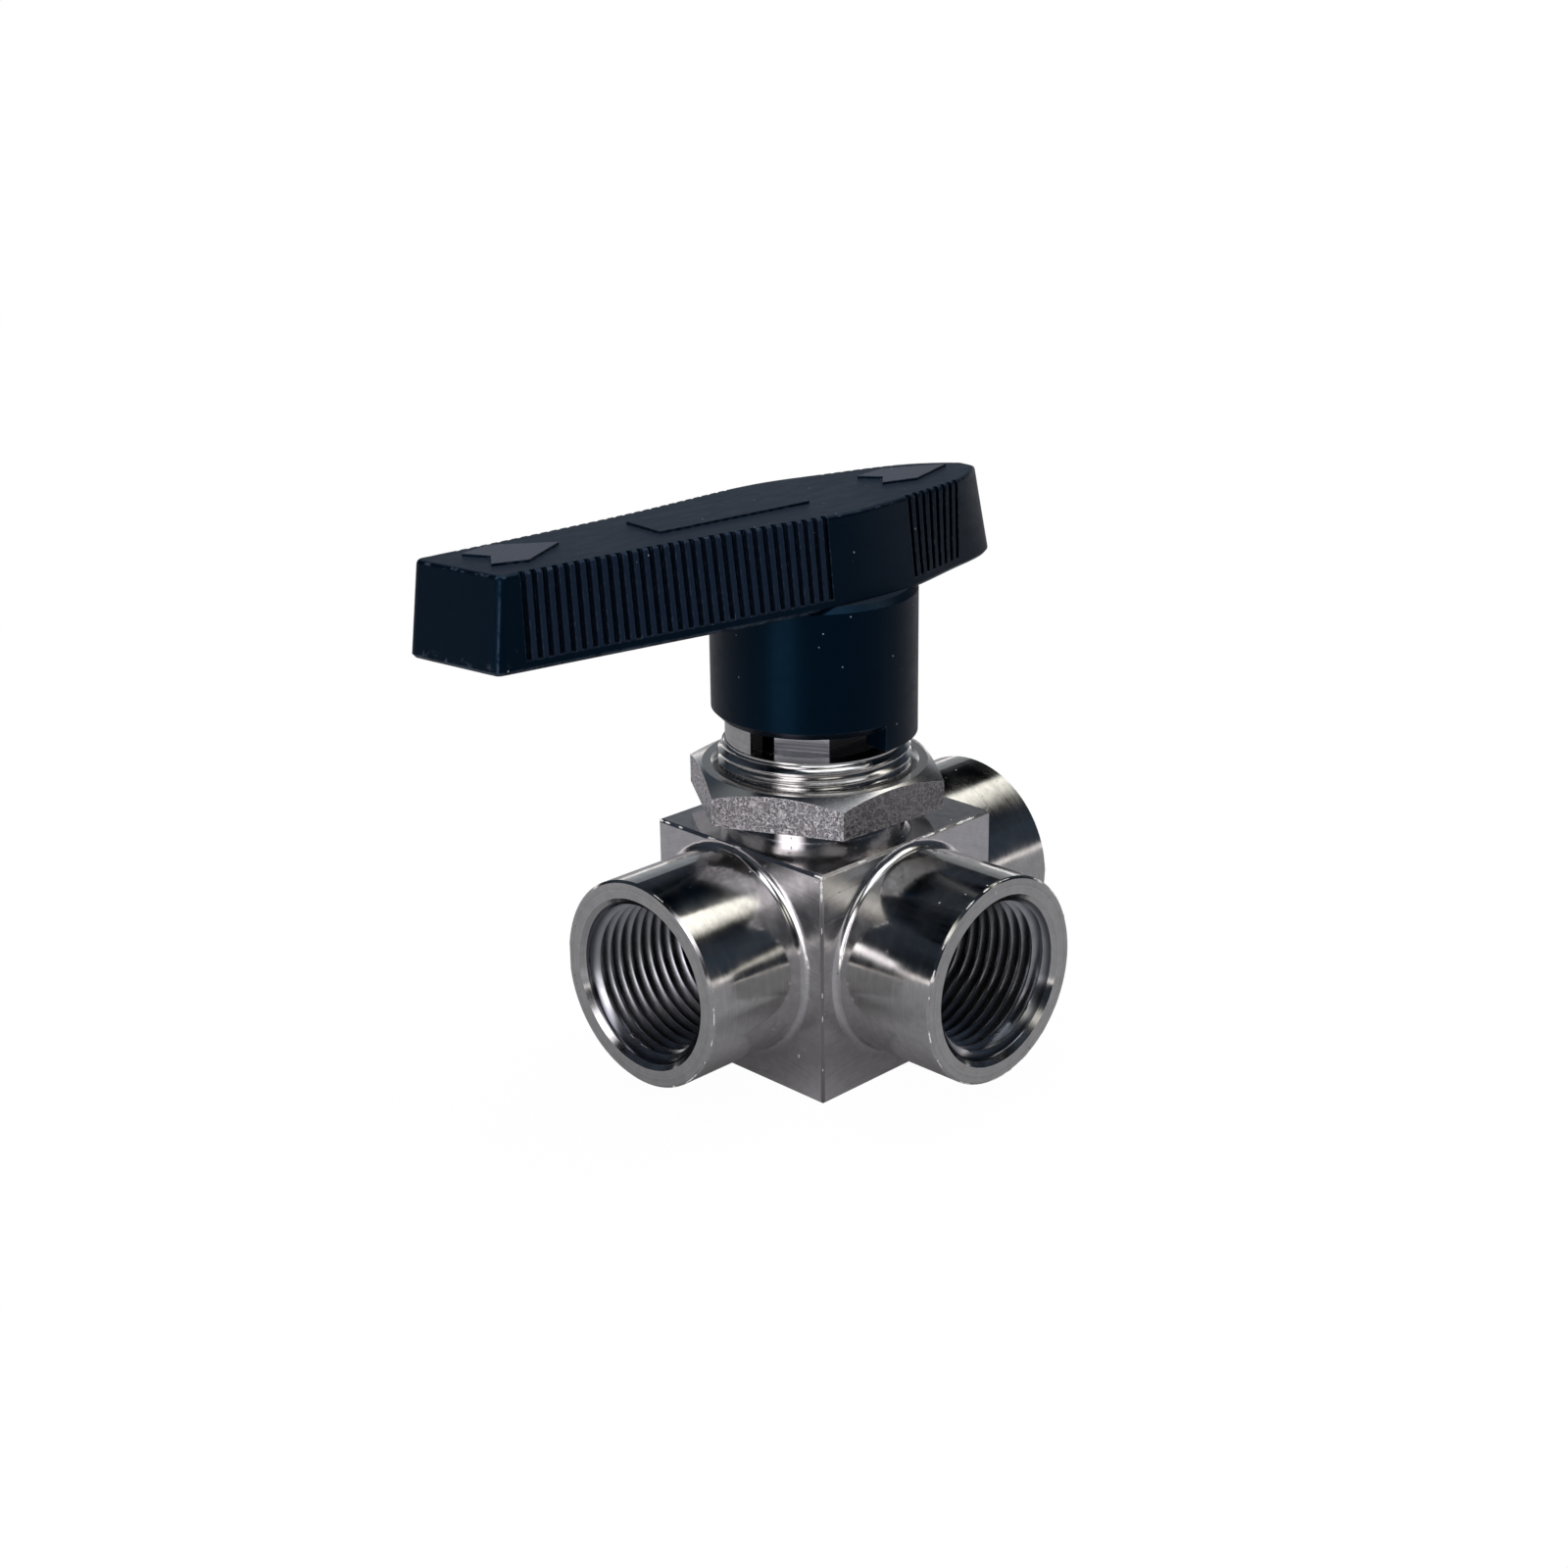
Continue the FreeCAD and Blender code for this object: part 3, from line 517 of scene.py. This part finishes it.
def plastic(name, dark, light, rough):
    finish = Finish(name)
    cloud = finish.noise(1.1, 4.0, 0.6)
    grain = finish.noise(12.0, 3.0, 0.6)
    colour = finish.tint(cloud, dark, light)
    roughness = finish.span(grain, 0.3, 0.7, rough - 0.05, rough + 0.05)
    depth = finish.bump(grain, 0.004)
    return finish.set(Base_Color=colour, Roughness=roughness, Normal=depth, IOR=PLASTIC_IOR)


def dress_cad_nodes():
    """Give every CAD node the finish of its slot in the record."""
    grey, pale = (0.47, 0.46, 0.45), (0.68, 0.67, 0.66)
    finishes = {
        "body_steel": body_steel(),
        "nut_steel": nut_steel(),
        "bolt_steel": plain_steel("bolt_steel", (0.04, 0.045, 0.055), (0.42, 0.43, 0.45), 0.32),
        "inner_steel": plain_steel("inner_steel", grey, pale, 0.25, "radius"),
        "ball_steel": plain_steel("ball_steel", (0.62, 0.62, 0.62), (0.72, 0.72, 0.72), 0.08, "x", 0.001),
        "stem_steel": plain_steel("stem_steel", grey, pale, 0.2),
        "insert_steel": plain_steel("insert_steel", grey, pale, 0.28),
        "screw_steel": plain_steel("screw_steel", (0.06, 0.06, 0.065), (0.12, 0.12, 0.125), 0.35, "x"),
        "side_steel": plain_steel("side_steel", (0.38, 0.37, 0.36), (0.55, 0.54, 0.53), 0.45, "radius"),
        "spring_steel": plain_steel("spring_steel", (0.36, 0.35, 0.33), (0.5, 0.49, 0.47), 0.3, "radius"),
        "packing_ptfe": plastic("packing_ptfe", (0.80, 0.80, 0.77), (0.88, 0.88, 0.86), 0.45),
        "bearing_peek": plastic("bearing_peek", (0.44, 0.34, 0.22), (0.56, 0.45, 0.31), 0.4),
        "handle_nylon": handle_nylon(),
        "thread_steel": thread_steel(),
        "burr_steel": burr_steel(),
    }
    for part in frame["record"]["subparts"]:
        piece = frame["nodes"][part["node"]]
        for place in piece.material_slots:
            place.material = finishes[part["material_slot"]]
    return finishes


finishes = dress_cad_nodes()


# ---- Meshes --------------------------------------------------------------------------------
MERGE_DISTANCE = 2e-7         # metres
LEAST_EDGE = 1e-7             # metres


def mesh_piece(name, points, faces, body, finish_name, smooth_angle=35.0):
    """A smooth shaded piece from points in millimetres, sharp where it bends past smooth_angle."""
    mesh = bpy.data.meshes.new(name)
    mesh.from_pydata([tuple(c * MM for c in point) for point in points], [], faces)
    piece = bpy.data.objects.new(name, mesh)
    bpy.context.scene.collection.objects.link(piece)
    shell = bmesh.new()
    shell.from_mesh(mesh)
    bmesh.ops.remove_doubles(shell, verts=shell.verts, dist=MERGE_DISTANCE)
    bmesh.ops.dissolve_degenerate(shell, edges=shell.edges, dist=LEAST_EDGE)
    bmesh.ops.recalc_face_normals(shell, faces=shell.faces)
    for edge in shell.edges:
        sharp = len(edge.link_faces) == 2 and edge.calc_face_angle() > math.radians(smooth_angle)
        edge.smooth = not sharp
    for face in shell.faces:
        face.smooth = True
    shell.to_mesh(mesh)
    shell.free()
    mesh.materials.append(finishes[finish_name])
    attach(piece, body)
    return piece


# ---- Threads -------------------------------------------------------------------------------
PROFILE_PHASES = [0.0, 0.04, 0.10, 0.18, 0.27, 0.36, 0.44, 0.50, 0.56, 0.64, 0.73, 0.82, 0.90, 0.96]
FLANK_END = 0.93              # where the flank reaches the crest, as a share of half a pitch
FLANK_CURVE = 1.4             # above 1, the flank is hollow near the root
ROOT_GAP = 0.02               # from the CAD wall to a thread's root
LEAST_GAP = 0.01              # from the CAD wall to a ridge that has run out
BURIED = 0.05                 # how deep in the CAD wall a sleeve's back lies


def thread_share(phase):
    """Share of the thread's depth over one pitch: 0 at the root, 1 on the narrow crest."""
    from_root = abs(2 * (phase % 1.0) - 1)
    return min(1.0, (from_root / FLANK_END) ** FLANK_CURVE)


def thread_sleeve(name, place, start, end, back_r, radius_at, pitch, finish_name, around=96):
    """Closed sleeve from a plain back wall to a helical thread, its rows following the helix.

    place turns (distance along the axis, radius, angle) into a point. radius_at gives the
    thread's radius from the same distance and the profile's share.
    """
    width = len(PROFILE_PHASES)
    turns = math.ceil((end - start) / pitch) + 3
    first = start - pitch

    def corner(distance, turn):
        held = min(max(distance, start), end)
        share = thread_share((held - first) / pitch - turn / around)
        return place(held, radius_at(held, share), 2 * math.pi * turn / around)

    points = []
    for row in range(turns * around + 1):
        for phase in PROFILE_PHASES:
            points.append(corner(first + (row / around + phase - 1) * pitch, row))
    faces = []
    for row in range((turns - 1) * around):
        for column in range(width):
            low = row * width + column
            if column + 1 < width:
                high = low + 1
            else:
                high = (row + around) * width
            faces.append((low, high, high + width, low + width))
    rim = len(points)
    for distance in (start, end):
        for turn in range(around):
            points.append(corner(distance, turn))
    back = len(points)
    for distance in (start, end):
        for turn in range(around):
            points.append(place(distance, back_r, 2 * math.pi * turn / around))
    for turn in range(around):
        following = (turn + 1) % around
        faces.append((rim + turn, rim + following, back + following, back + turn))
        faces.append((rim + around + turn, rim + around + following,
                      back + around + following, back + around + turn))
        faces.append((back + turn, back + following, back + around + following, back + around + turn))
    return mesh_piece(name, points, faces, "housing", finish_name)


def port_thread(name, direction, reach):
    """Right-hand ridges inside a port, cut back by the mouth's 45 degree chamfer."""
    out = Vector(direction)
    side = UP.cross(out)

    def place(distance, radius, angle):
        across = side * math.cos(angle) + UP * math.sin(angle)
        return out * distance + across * radius + UP * PORT_Z

    def radius_at(distance, share):
        ridge = THREAD_R - ROOT_GAP - (THREAD_R - THREAD_CREST_R) * share
        mouth = MOUTH_R - (reach - distance)
        return min(THREAD_R - LEAST_GAP, max(ridge, mouth))

    start = reach - THREAD_LENGTH + ROOT_GAP
    end = reach - (MOUTH_R - THREAD_R) - LEAST_GAP
    return thread_sleeve(name, place, start, end, THREAD_R + BURIED, radius_at, THREAD_PITCH,
                         "thread_steel")


port_thread("port_thread_left", (-1, 0, 0), RUN_REACH)
port_thread("port_thread_right", (1, 0, 0), RUN_REACH)
port_thread("port_thread_branch", (0, -1, 0), BRANCH_REACH)


def bonnet_thread():
    """Ridges round the bonnet, from just inside the nut to the lead-in chamfer at the top."""
    plain_end, in_nut = 0.32, 0.08
    top = BONNET_TOP - plain_end

    def place(distance, radius, angle):
        return Vector((radius * math.cos(angle), radius * math.sin(angle), distance))

    def radius_at(distance, share):
        ridge = BONNET_ROOT_R + ROOT_GAP + (BONNET_R - BONNET_ROOT_R) * share
        lead_in = BONNET_ROOT_R + 0.1 + (top - distance)
        return max(BONNET_ROOT_R + LEAST_GAP, min(ridge, lead_in))

    return thread_sleeve("bonnet_thread", place, NUT_TOP - in_nut, top, BONNET_ROOT_R - BURIED,
                         radius_at, BONNET_PITCH, "body_steel")


bonnet_thread()


# ---- Burrs left on sharp edges -------------------------------------------------------------
BURR_SIDES = 5
BURR_STATION = 0.09           # length of a burr between two rings of points
BURR_THINNEST = 0.004
BURR_AHEAD = 0.05             # how far ahead the edge's direction is read
BURR_SMOOTHING = 60.0         # degrees
OFF_AXIS = Vector((0.31, 0.52, 0.79))  # a direction in which no edge runs


def burr(path_at, length, chance, thickest, chooser):
    """Points and faces of short torn slivers along an edge. path_at maps 0..length to a point."""
    points, faces = [], []
    place = 0.0
    while place < length:
        run = chooser.uniform(0.2, 1.5)
        if chooser.random() < chance:
            stations = max(4, round(run / BURR_STATION))
            first = len(points)
            for station in range(stations + 1):
                share = station / stations
                swell = math.sin(math.pi * share) ** 0.5 * chooser.uniform(0.35, 1.0)
                radius = max(BURR_THINNEST, thickest * swell)
                centre = path_at(min(place + run * share, length))
                beyond = path_at(min(place + run * share + BURR_AHEAD, length + BURR_AHEAD))
                ahead = (beyond - centre).normalized()
                side = ahead.cross(OFF_AXIS).normalized()
                rise = ahead.cross(side)
                for turn in range(BURR_SIDES):
                    angle = 2 * math.pi * turn / BURR_SIDES
                    points.append(centre + (side * math.cos(angle) + rise * math.sin(angle)) * radius)
            for station in range(stations):
                for turn in range(BURR_SIDES):
                    a = first + station * BURR_SIDES + turn
                    b = first + station * BURR_SIDES + (turn + 1) % BURR_SIDES
                    faces.append((a, b, b + BURR_SIDES, a + BURR_SIDES))
            faces.append(tuple(first + turn for turn in range(BURR_SIDES)))
            faces.append(tuple(first + stations * BURR_SIDES + turn for turn in range(BURR_SIDES)))
        place += run
    return points, faces


def straight(start, end):
    start, end = Vector(start), Vector(end)
    length = (end - start).length
    return (lambda place: start + (end - start) * place / length), length


def circle(centre, first_axis, second_axis, radius, start, end):
    """Arc between two angles in degrees."""
    centre, first_axis, second_axis = Vector(centre), Vector(first_axis), Vector(second_axis)
    length = math.radians(end - start) * radius

    def at(place):
        angle = math.radians(start) + place / radius
        return centre + (first_axis * math.cos(angle) + second_axis * math.sin(angle)) * radius

    return at, length


def edge_burrs():
    """Burrs along the block's and the bosses' edges, each a little inside its edge."""
    chooser = random.Random(11)
    block_inset, rim_inset, face_inset, collar_inset = 0.13, 0.1, 0.12, 0.03
    side, front, back = BLOCK_SIDE - block_inset, BLOCK_FRONT - block_inset, BLOCK_BACK - block_inset
    top, bottom = BLOCK_TOP - block_inset, 0.4
    torn = top - 2.5          # the front left corner is torn above this
    rim = PORT_R - rim_inset
    up, run, branch = (0, 0, 1), (1, 0, 0), (0, 1, 0)
    left_face = (-RUN_REACH + face_inset, 0, PORT_Z)
    right_face = (RUN_REACH - face_inset, 0, PORT_Z)
    branch_face = (0, -BRANCH_REACH + face_inset, PORT_Z)
    collar_face = (0, 0, COLLAR_TOP - collar_inset)
    # path, share of it that carries burrs, thickest burr
    edges = [
        (straight((-side, -front, top), (side, -front, top)), 0.30, 0.13),
        (straight((-side, -front, top), (-side, back, top)), 0.30, 0.13),
        (straight((side, -front, top), (side, back, top)), 0.25, 0.08),
        (straight((-side, back, top), (side, back, top)), 0.25, 0.08),
        (straight((-side, -front, torn), (-side, -front, top + 0.05)), 0.75, 0.17),
        (straight((-side, -front, bottom), (-side, -front, torn)), 0.22, 0.05),
        (circle(left_face, branch, up, rim, 20, 175), 0.18, 0.05),
        (circle(left_face, branch, up, rim, 175, 245), 0.40, 0.06),
        (circle(right_face, branch, up, rim, 0, 360), 0.25, 0.06),
        (circle(branch_face, run, up, rim, 20, 100), 0.18, 0.05),
        (circle(branch_face, run, up, rim, 100, 205), 0.40, 0.10),
        (circle(branch_face, run, up, rim, 205, 350), 0.18, 0.05),
        (circle(collar_face, run, branch, COLLAR_R - collar_inset, 6, 178), 0.3, 0.05),
    ]
    points, faces = [], []
    for (path_at, length), chance, thickest in edges:
        more, more_faces = burr(path_at, length, chance, thickest, chooser)
        faces += [tuple(index + len(points) for index in face) for face in more_faces]
        points += more
    mesh_piece("edge_burrs", points, faces, "housing", "burr_steel", BURR_SMOOTHING)


edge_burrs()


# ---- Studio --------------------------------------------------------------------------------
# centre azimuth, centre elevation, half width, half height (degrees), softness, colour
SOFTBOXES = [
    (-14.0, 51.0, 18.0, 7.5, 0.06, (1.90, 1.85, 1.70)),
    (192.0, 14.0, 13.0, 30.0, 0.14, (3.1, 2.95, 3.1)),
    (45.0, 5.0, 34.0, 14.0, 0.16, (0.33, 0.345, 0.36)),
    (-45.0, 88.0, 24.0, 24.0, 0.20, (2.80, 2.85, 2.95)),
    (75.0, 50.0, 16.0, 8.0, 0.12, (0.14, 0.15, 0.15)),
    (244.0, 38.0, 10.0, 8.0, 0.10, (1.35, 1.31, 1.20)),
]
ROOM = (0.020, 0.026, 0.036)
HORIZON = (1.15, 1.08, 1.06)
HORIZON_HEIGHT = 0.025        # sine of its elevation
HORIZON_FADE = (0.015, 0.07)  # full and gone, as sines away from its height
WHITE = (1.0, 1.0, 1.0, 1.0)

# The floor's sizes are in metres.
FLOOR_REACH = 6.0
FLOOR_GAP = 0.0002            # under the valve
FLOOR_COLOUR = (0.332, 0.330, 0.340, 1.0)
FLOOR_SEEN_GLOW = 1.06
FLOOR_SEEN_SHARE = 0.92       # how much of what the camera sees of the floor is its plain glow
SHEEN_COLOUR = (1.0, 0.98, 0.99, 1.0)
SHEEN = 0.055
PATCH_AZIMUTH = 191.0         # where the floor is brightest
PATCH_GLOW = 1.7
PATCH_SPREAD = (0.10, 0.30)   # full and gone, as tangents off its middle line
PATCH_START = (0.125, 0.060)  # full and gone, from the valve's axis
PATCH_END = (0.22, 0.35)


def studio_world():
    """A dark room with a bright horizon and soft boxes, which the camera itself sees as white."""
    world = bpy.data.worlds.new("studio")
    bpy.context.scene.world = world
    world.use_nodes = True
    tree = world.node_tree
    tree.nodes.clear()
    ray = add_node(tree, "ShaderNodeTexCoord").outputs["Generated"]

    def added(light, share, colour):
        part = add_node(tree, "ShaderNodeVectorMath", {0: colour, "Scale": share}, operation="SCALE")
        made = add_node(tree, "ShaderNodeVectorMath", {0: light, 1: part.outputs[0]}, operation="ADD")
        return made.outputs[0]

    off_horizon = calc(tree, "SUBTRACT", dot_product(tree, ray, UP), HORIZON_HEIGHT)
    band = fade(tree, calc(tree, "ABSOLUTE", off_horizon), *HORIZON_FADE)
    # The unlit room is not even: soft darker and lighter parts, as any workshop has.
    room = add_node(tree, "ShaderNodeTexNoise", {"Vector": ray, "Scale": 1.9, "Detail": 2.0}).outputs[0]
    uneven = ramp(tree, room, 0.35, 0.68, 0.05, 1.8)
    light = added(added((0.0, 0.0, 0.0), uneven, ROOM), band, HORIZON)
    for azimuth, elevation, half_width, half_height, softness, colour in SOFTBOXES:
        centre = direction_to(azimuth, elevation)
        side = UP.cross(centre).normalized()
        rise = centre.cross(side)
        ahead = dot_product(tree, ray, centre)
        patch = calc(tree, "GREATER_THAN", ahead, 0.01)
        for direction, half_angle in ((side, half_width), (rise, half_height)):
            limit = math.tan(math.radians(half_angle))
            slope = calc(tree, "DIVIDE", dot_product(tree, ray, direction), ahead)
            inside = fade(tree, calc(tree, "ABSOLUTE", slope), limit - softness, limit + softness)
            patch = calc(tree, "MULTIPLY", patch, inside)
        light = added(light, patch, colour)
    lit = add_node(tree, "ShaderNodeBackground", {"Color": light, "Strength": 1.0})
    seen = add_node(tree, "ShaderNodeBackground", {"Color": WHITE, "Strength": 1.0})
    direct = add_node(tree, "ShaderNodeLightPath").outputs["Is Camera Ray"]
    both = add_node(tree, "ShaderNodeMixShader", {0: direct, 1: lit.outputs[0], 2: seen.outputs[0]})
    add_node(tree, "ShaderNodeOutputWorld", {"Surface": both.outputs[0]})


def floor_light(tree):
    """Light that the floor gives off: a faint even glow, and a painted pool of light off the valve,
    brightest where the strip light would brighten the floor.
    """
    place = add_node(tree, "ShaderNodeTexCoord").outputs["Object"]
    towards = direction_to(PATCH_AZIMUTH, 0.0)
    ahead = dot_product(tree, place, towards)
    slope = calc(tree, "DIVIDE", dot_product(tree, place, UP.cross(towards)), ahead)
    # Painted pool of light on the floor, off the valve on the strip light's side.
    patch = fade(tree, calc(tree, "ABSOLUTE", slope), *PATCH_SPREAD)
    patch = calc(tree, "MULTIPLY", patch, fade(tree, ahead, *PATCH_START))
    patch = calc(tree, "MULTIPLY", patch, fade(tree, ahead, *PATCH_END))
    return calc(tree, "ADD", calc(tree, "MULTIPLY", patch, PATCH_GLOW), SHEEN)


def floor():
    """A pale floor, which the camera sees as almost plain white."""
    mesh = bpy.data.meshes.new("floor")
    r = FLOOR_REACH
    mesh.from_pydata([(-r, -r, 0), (r, -r, 0), (r, r, 0), (-r, r, 0)], [], [(0, 1, 2, 3)])
    piece = bpy.data.objects.new("floor", mesh)
    bpy.context.scene.collection.objects.link(piece)
    piece.location.z = cad_low.z - FLOOR_GAP
    material = bpy.data.materials.new("pale_floor")
    material.use_nodes = True
    tree = material.node_tree
    tree.nodes.clear()
    paper = add_node(tree, "ShaderNodeBsdfDiffuse", {"Color": FLOOR_COLOUR})
    sheen = add_node(tree, "ShaderNodeEmission", {"Color": SHEEN_COLOUR, "Strength": floor_light(tree)})
    glow = add_node(tree, "ShaderNodeEmission", {"Color": WHITE, "Strength": FLOOR_SEEN_GLOW})
    lower = add_node(tree, "ShaderNodeAddShader", {0: paper.outputs[0], 1: sheen.outputs[0]})
    direct = add_node(tree, "ShaderNodeLightPath").outputs["Is Camera Ray"]
    share = calc(tree, "MULTIPLY", direct, FLOOR_SEEN_SHARE)
    both = add_node(tree, "ShaderNodeMixShader", {0: share, 1: lower.outputs[0], 2: glow.outputs[0]})
    add_node(tree, "ShaderNodeOutputMaterial", {"Surface": both.outputs[0]})
    mesh.materials.append(material)


# ---- Camera --------------------------------------------------------------------------------
CAMERA_PLACE = Vector((-0.16483, -0.16075, 0.11127))
CAMERA_TARGET = Vector((-0.019032, -0.014594, 0.036010))
CAMERA_ROLL = -0.743          # degrees
LENS = 55.09                  # focal length for a sensor 36 mm wide


def camera():
    """The photograph's viewpoint: halfway between the left end and the branch, 20 degrees up."""
    lens = bpy.data.cameras.new("camera")
    lens.lens = LENS
    lens.sensor_width = 36.0
    lens.clip_start = 0.01
    lens.clip_end = 50.0
    piece = bpy.data.objects.new("camera", lens)
    bpy.context.scene.collection.objects.link(piece)
    look = (CAMERA_TARGET - CAMERA_PLACE).to_track_quat("-Z", "Y")
    roll = Matrix.Rotation(math.radians(CAMERA_ROLL), 3, "Z").to_quaternion()
    piece.location = CAMERA_PLACE
    piece.rotation_mode = "QUATERNION"
    piece.rotation_quaternion = look @ roll
    bpy.context.scene.camera = piece


studio_world()
floor()
camera()
bpy.context.scene.view_settings.view_transform = "Standard"
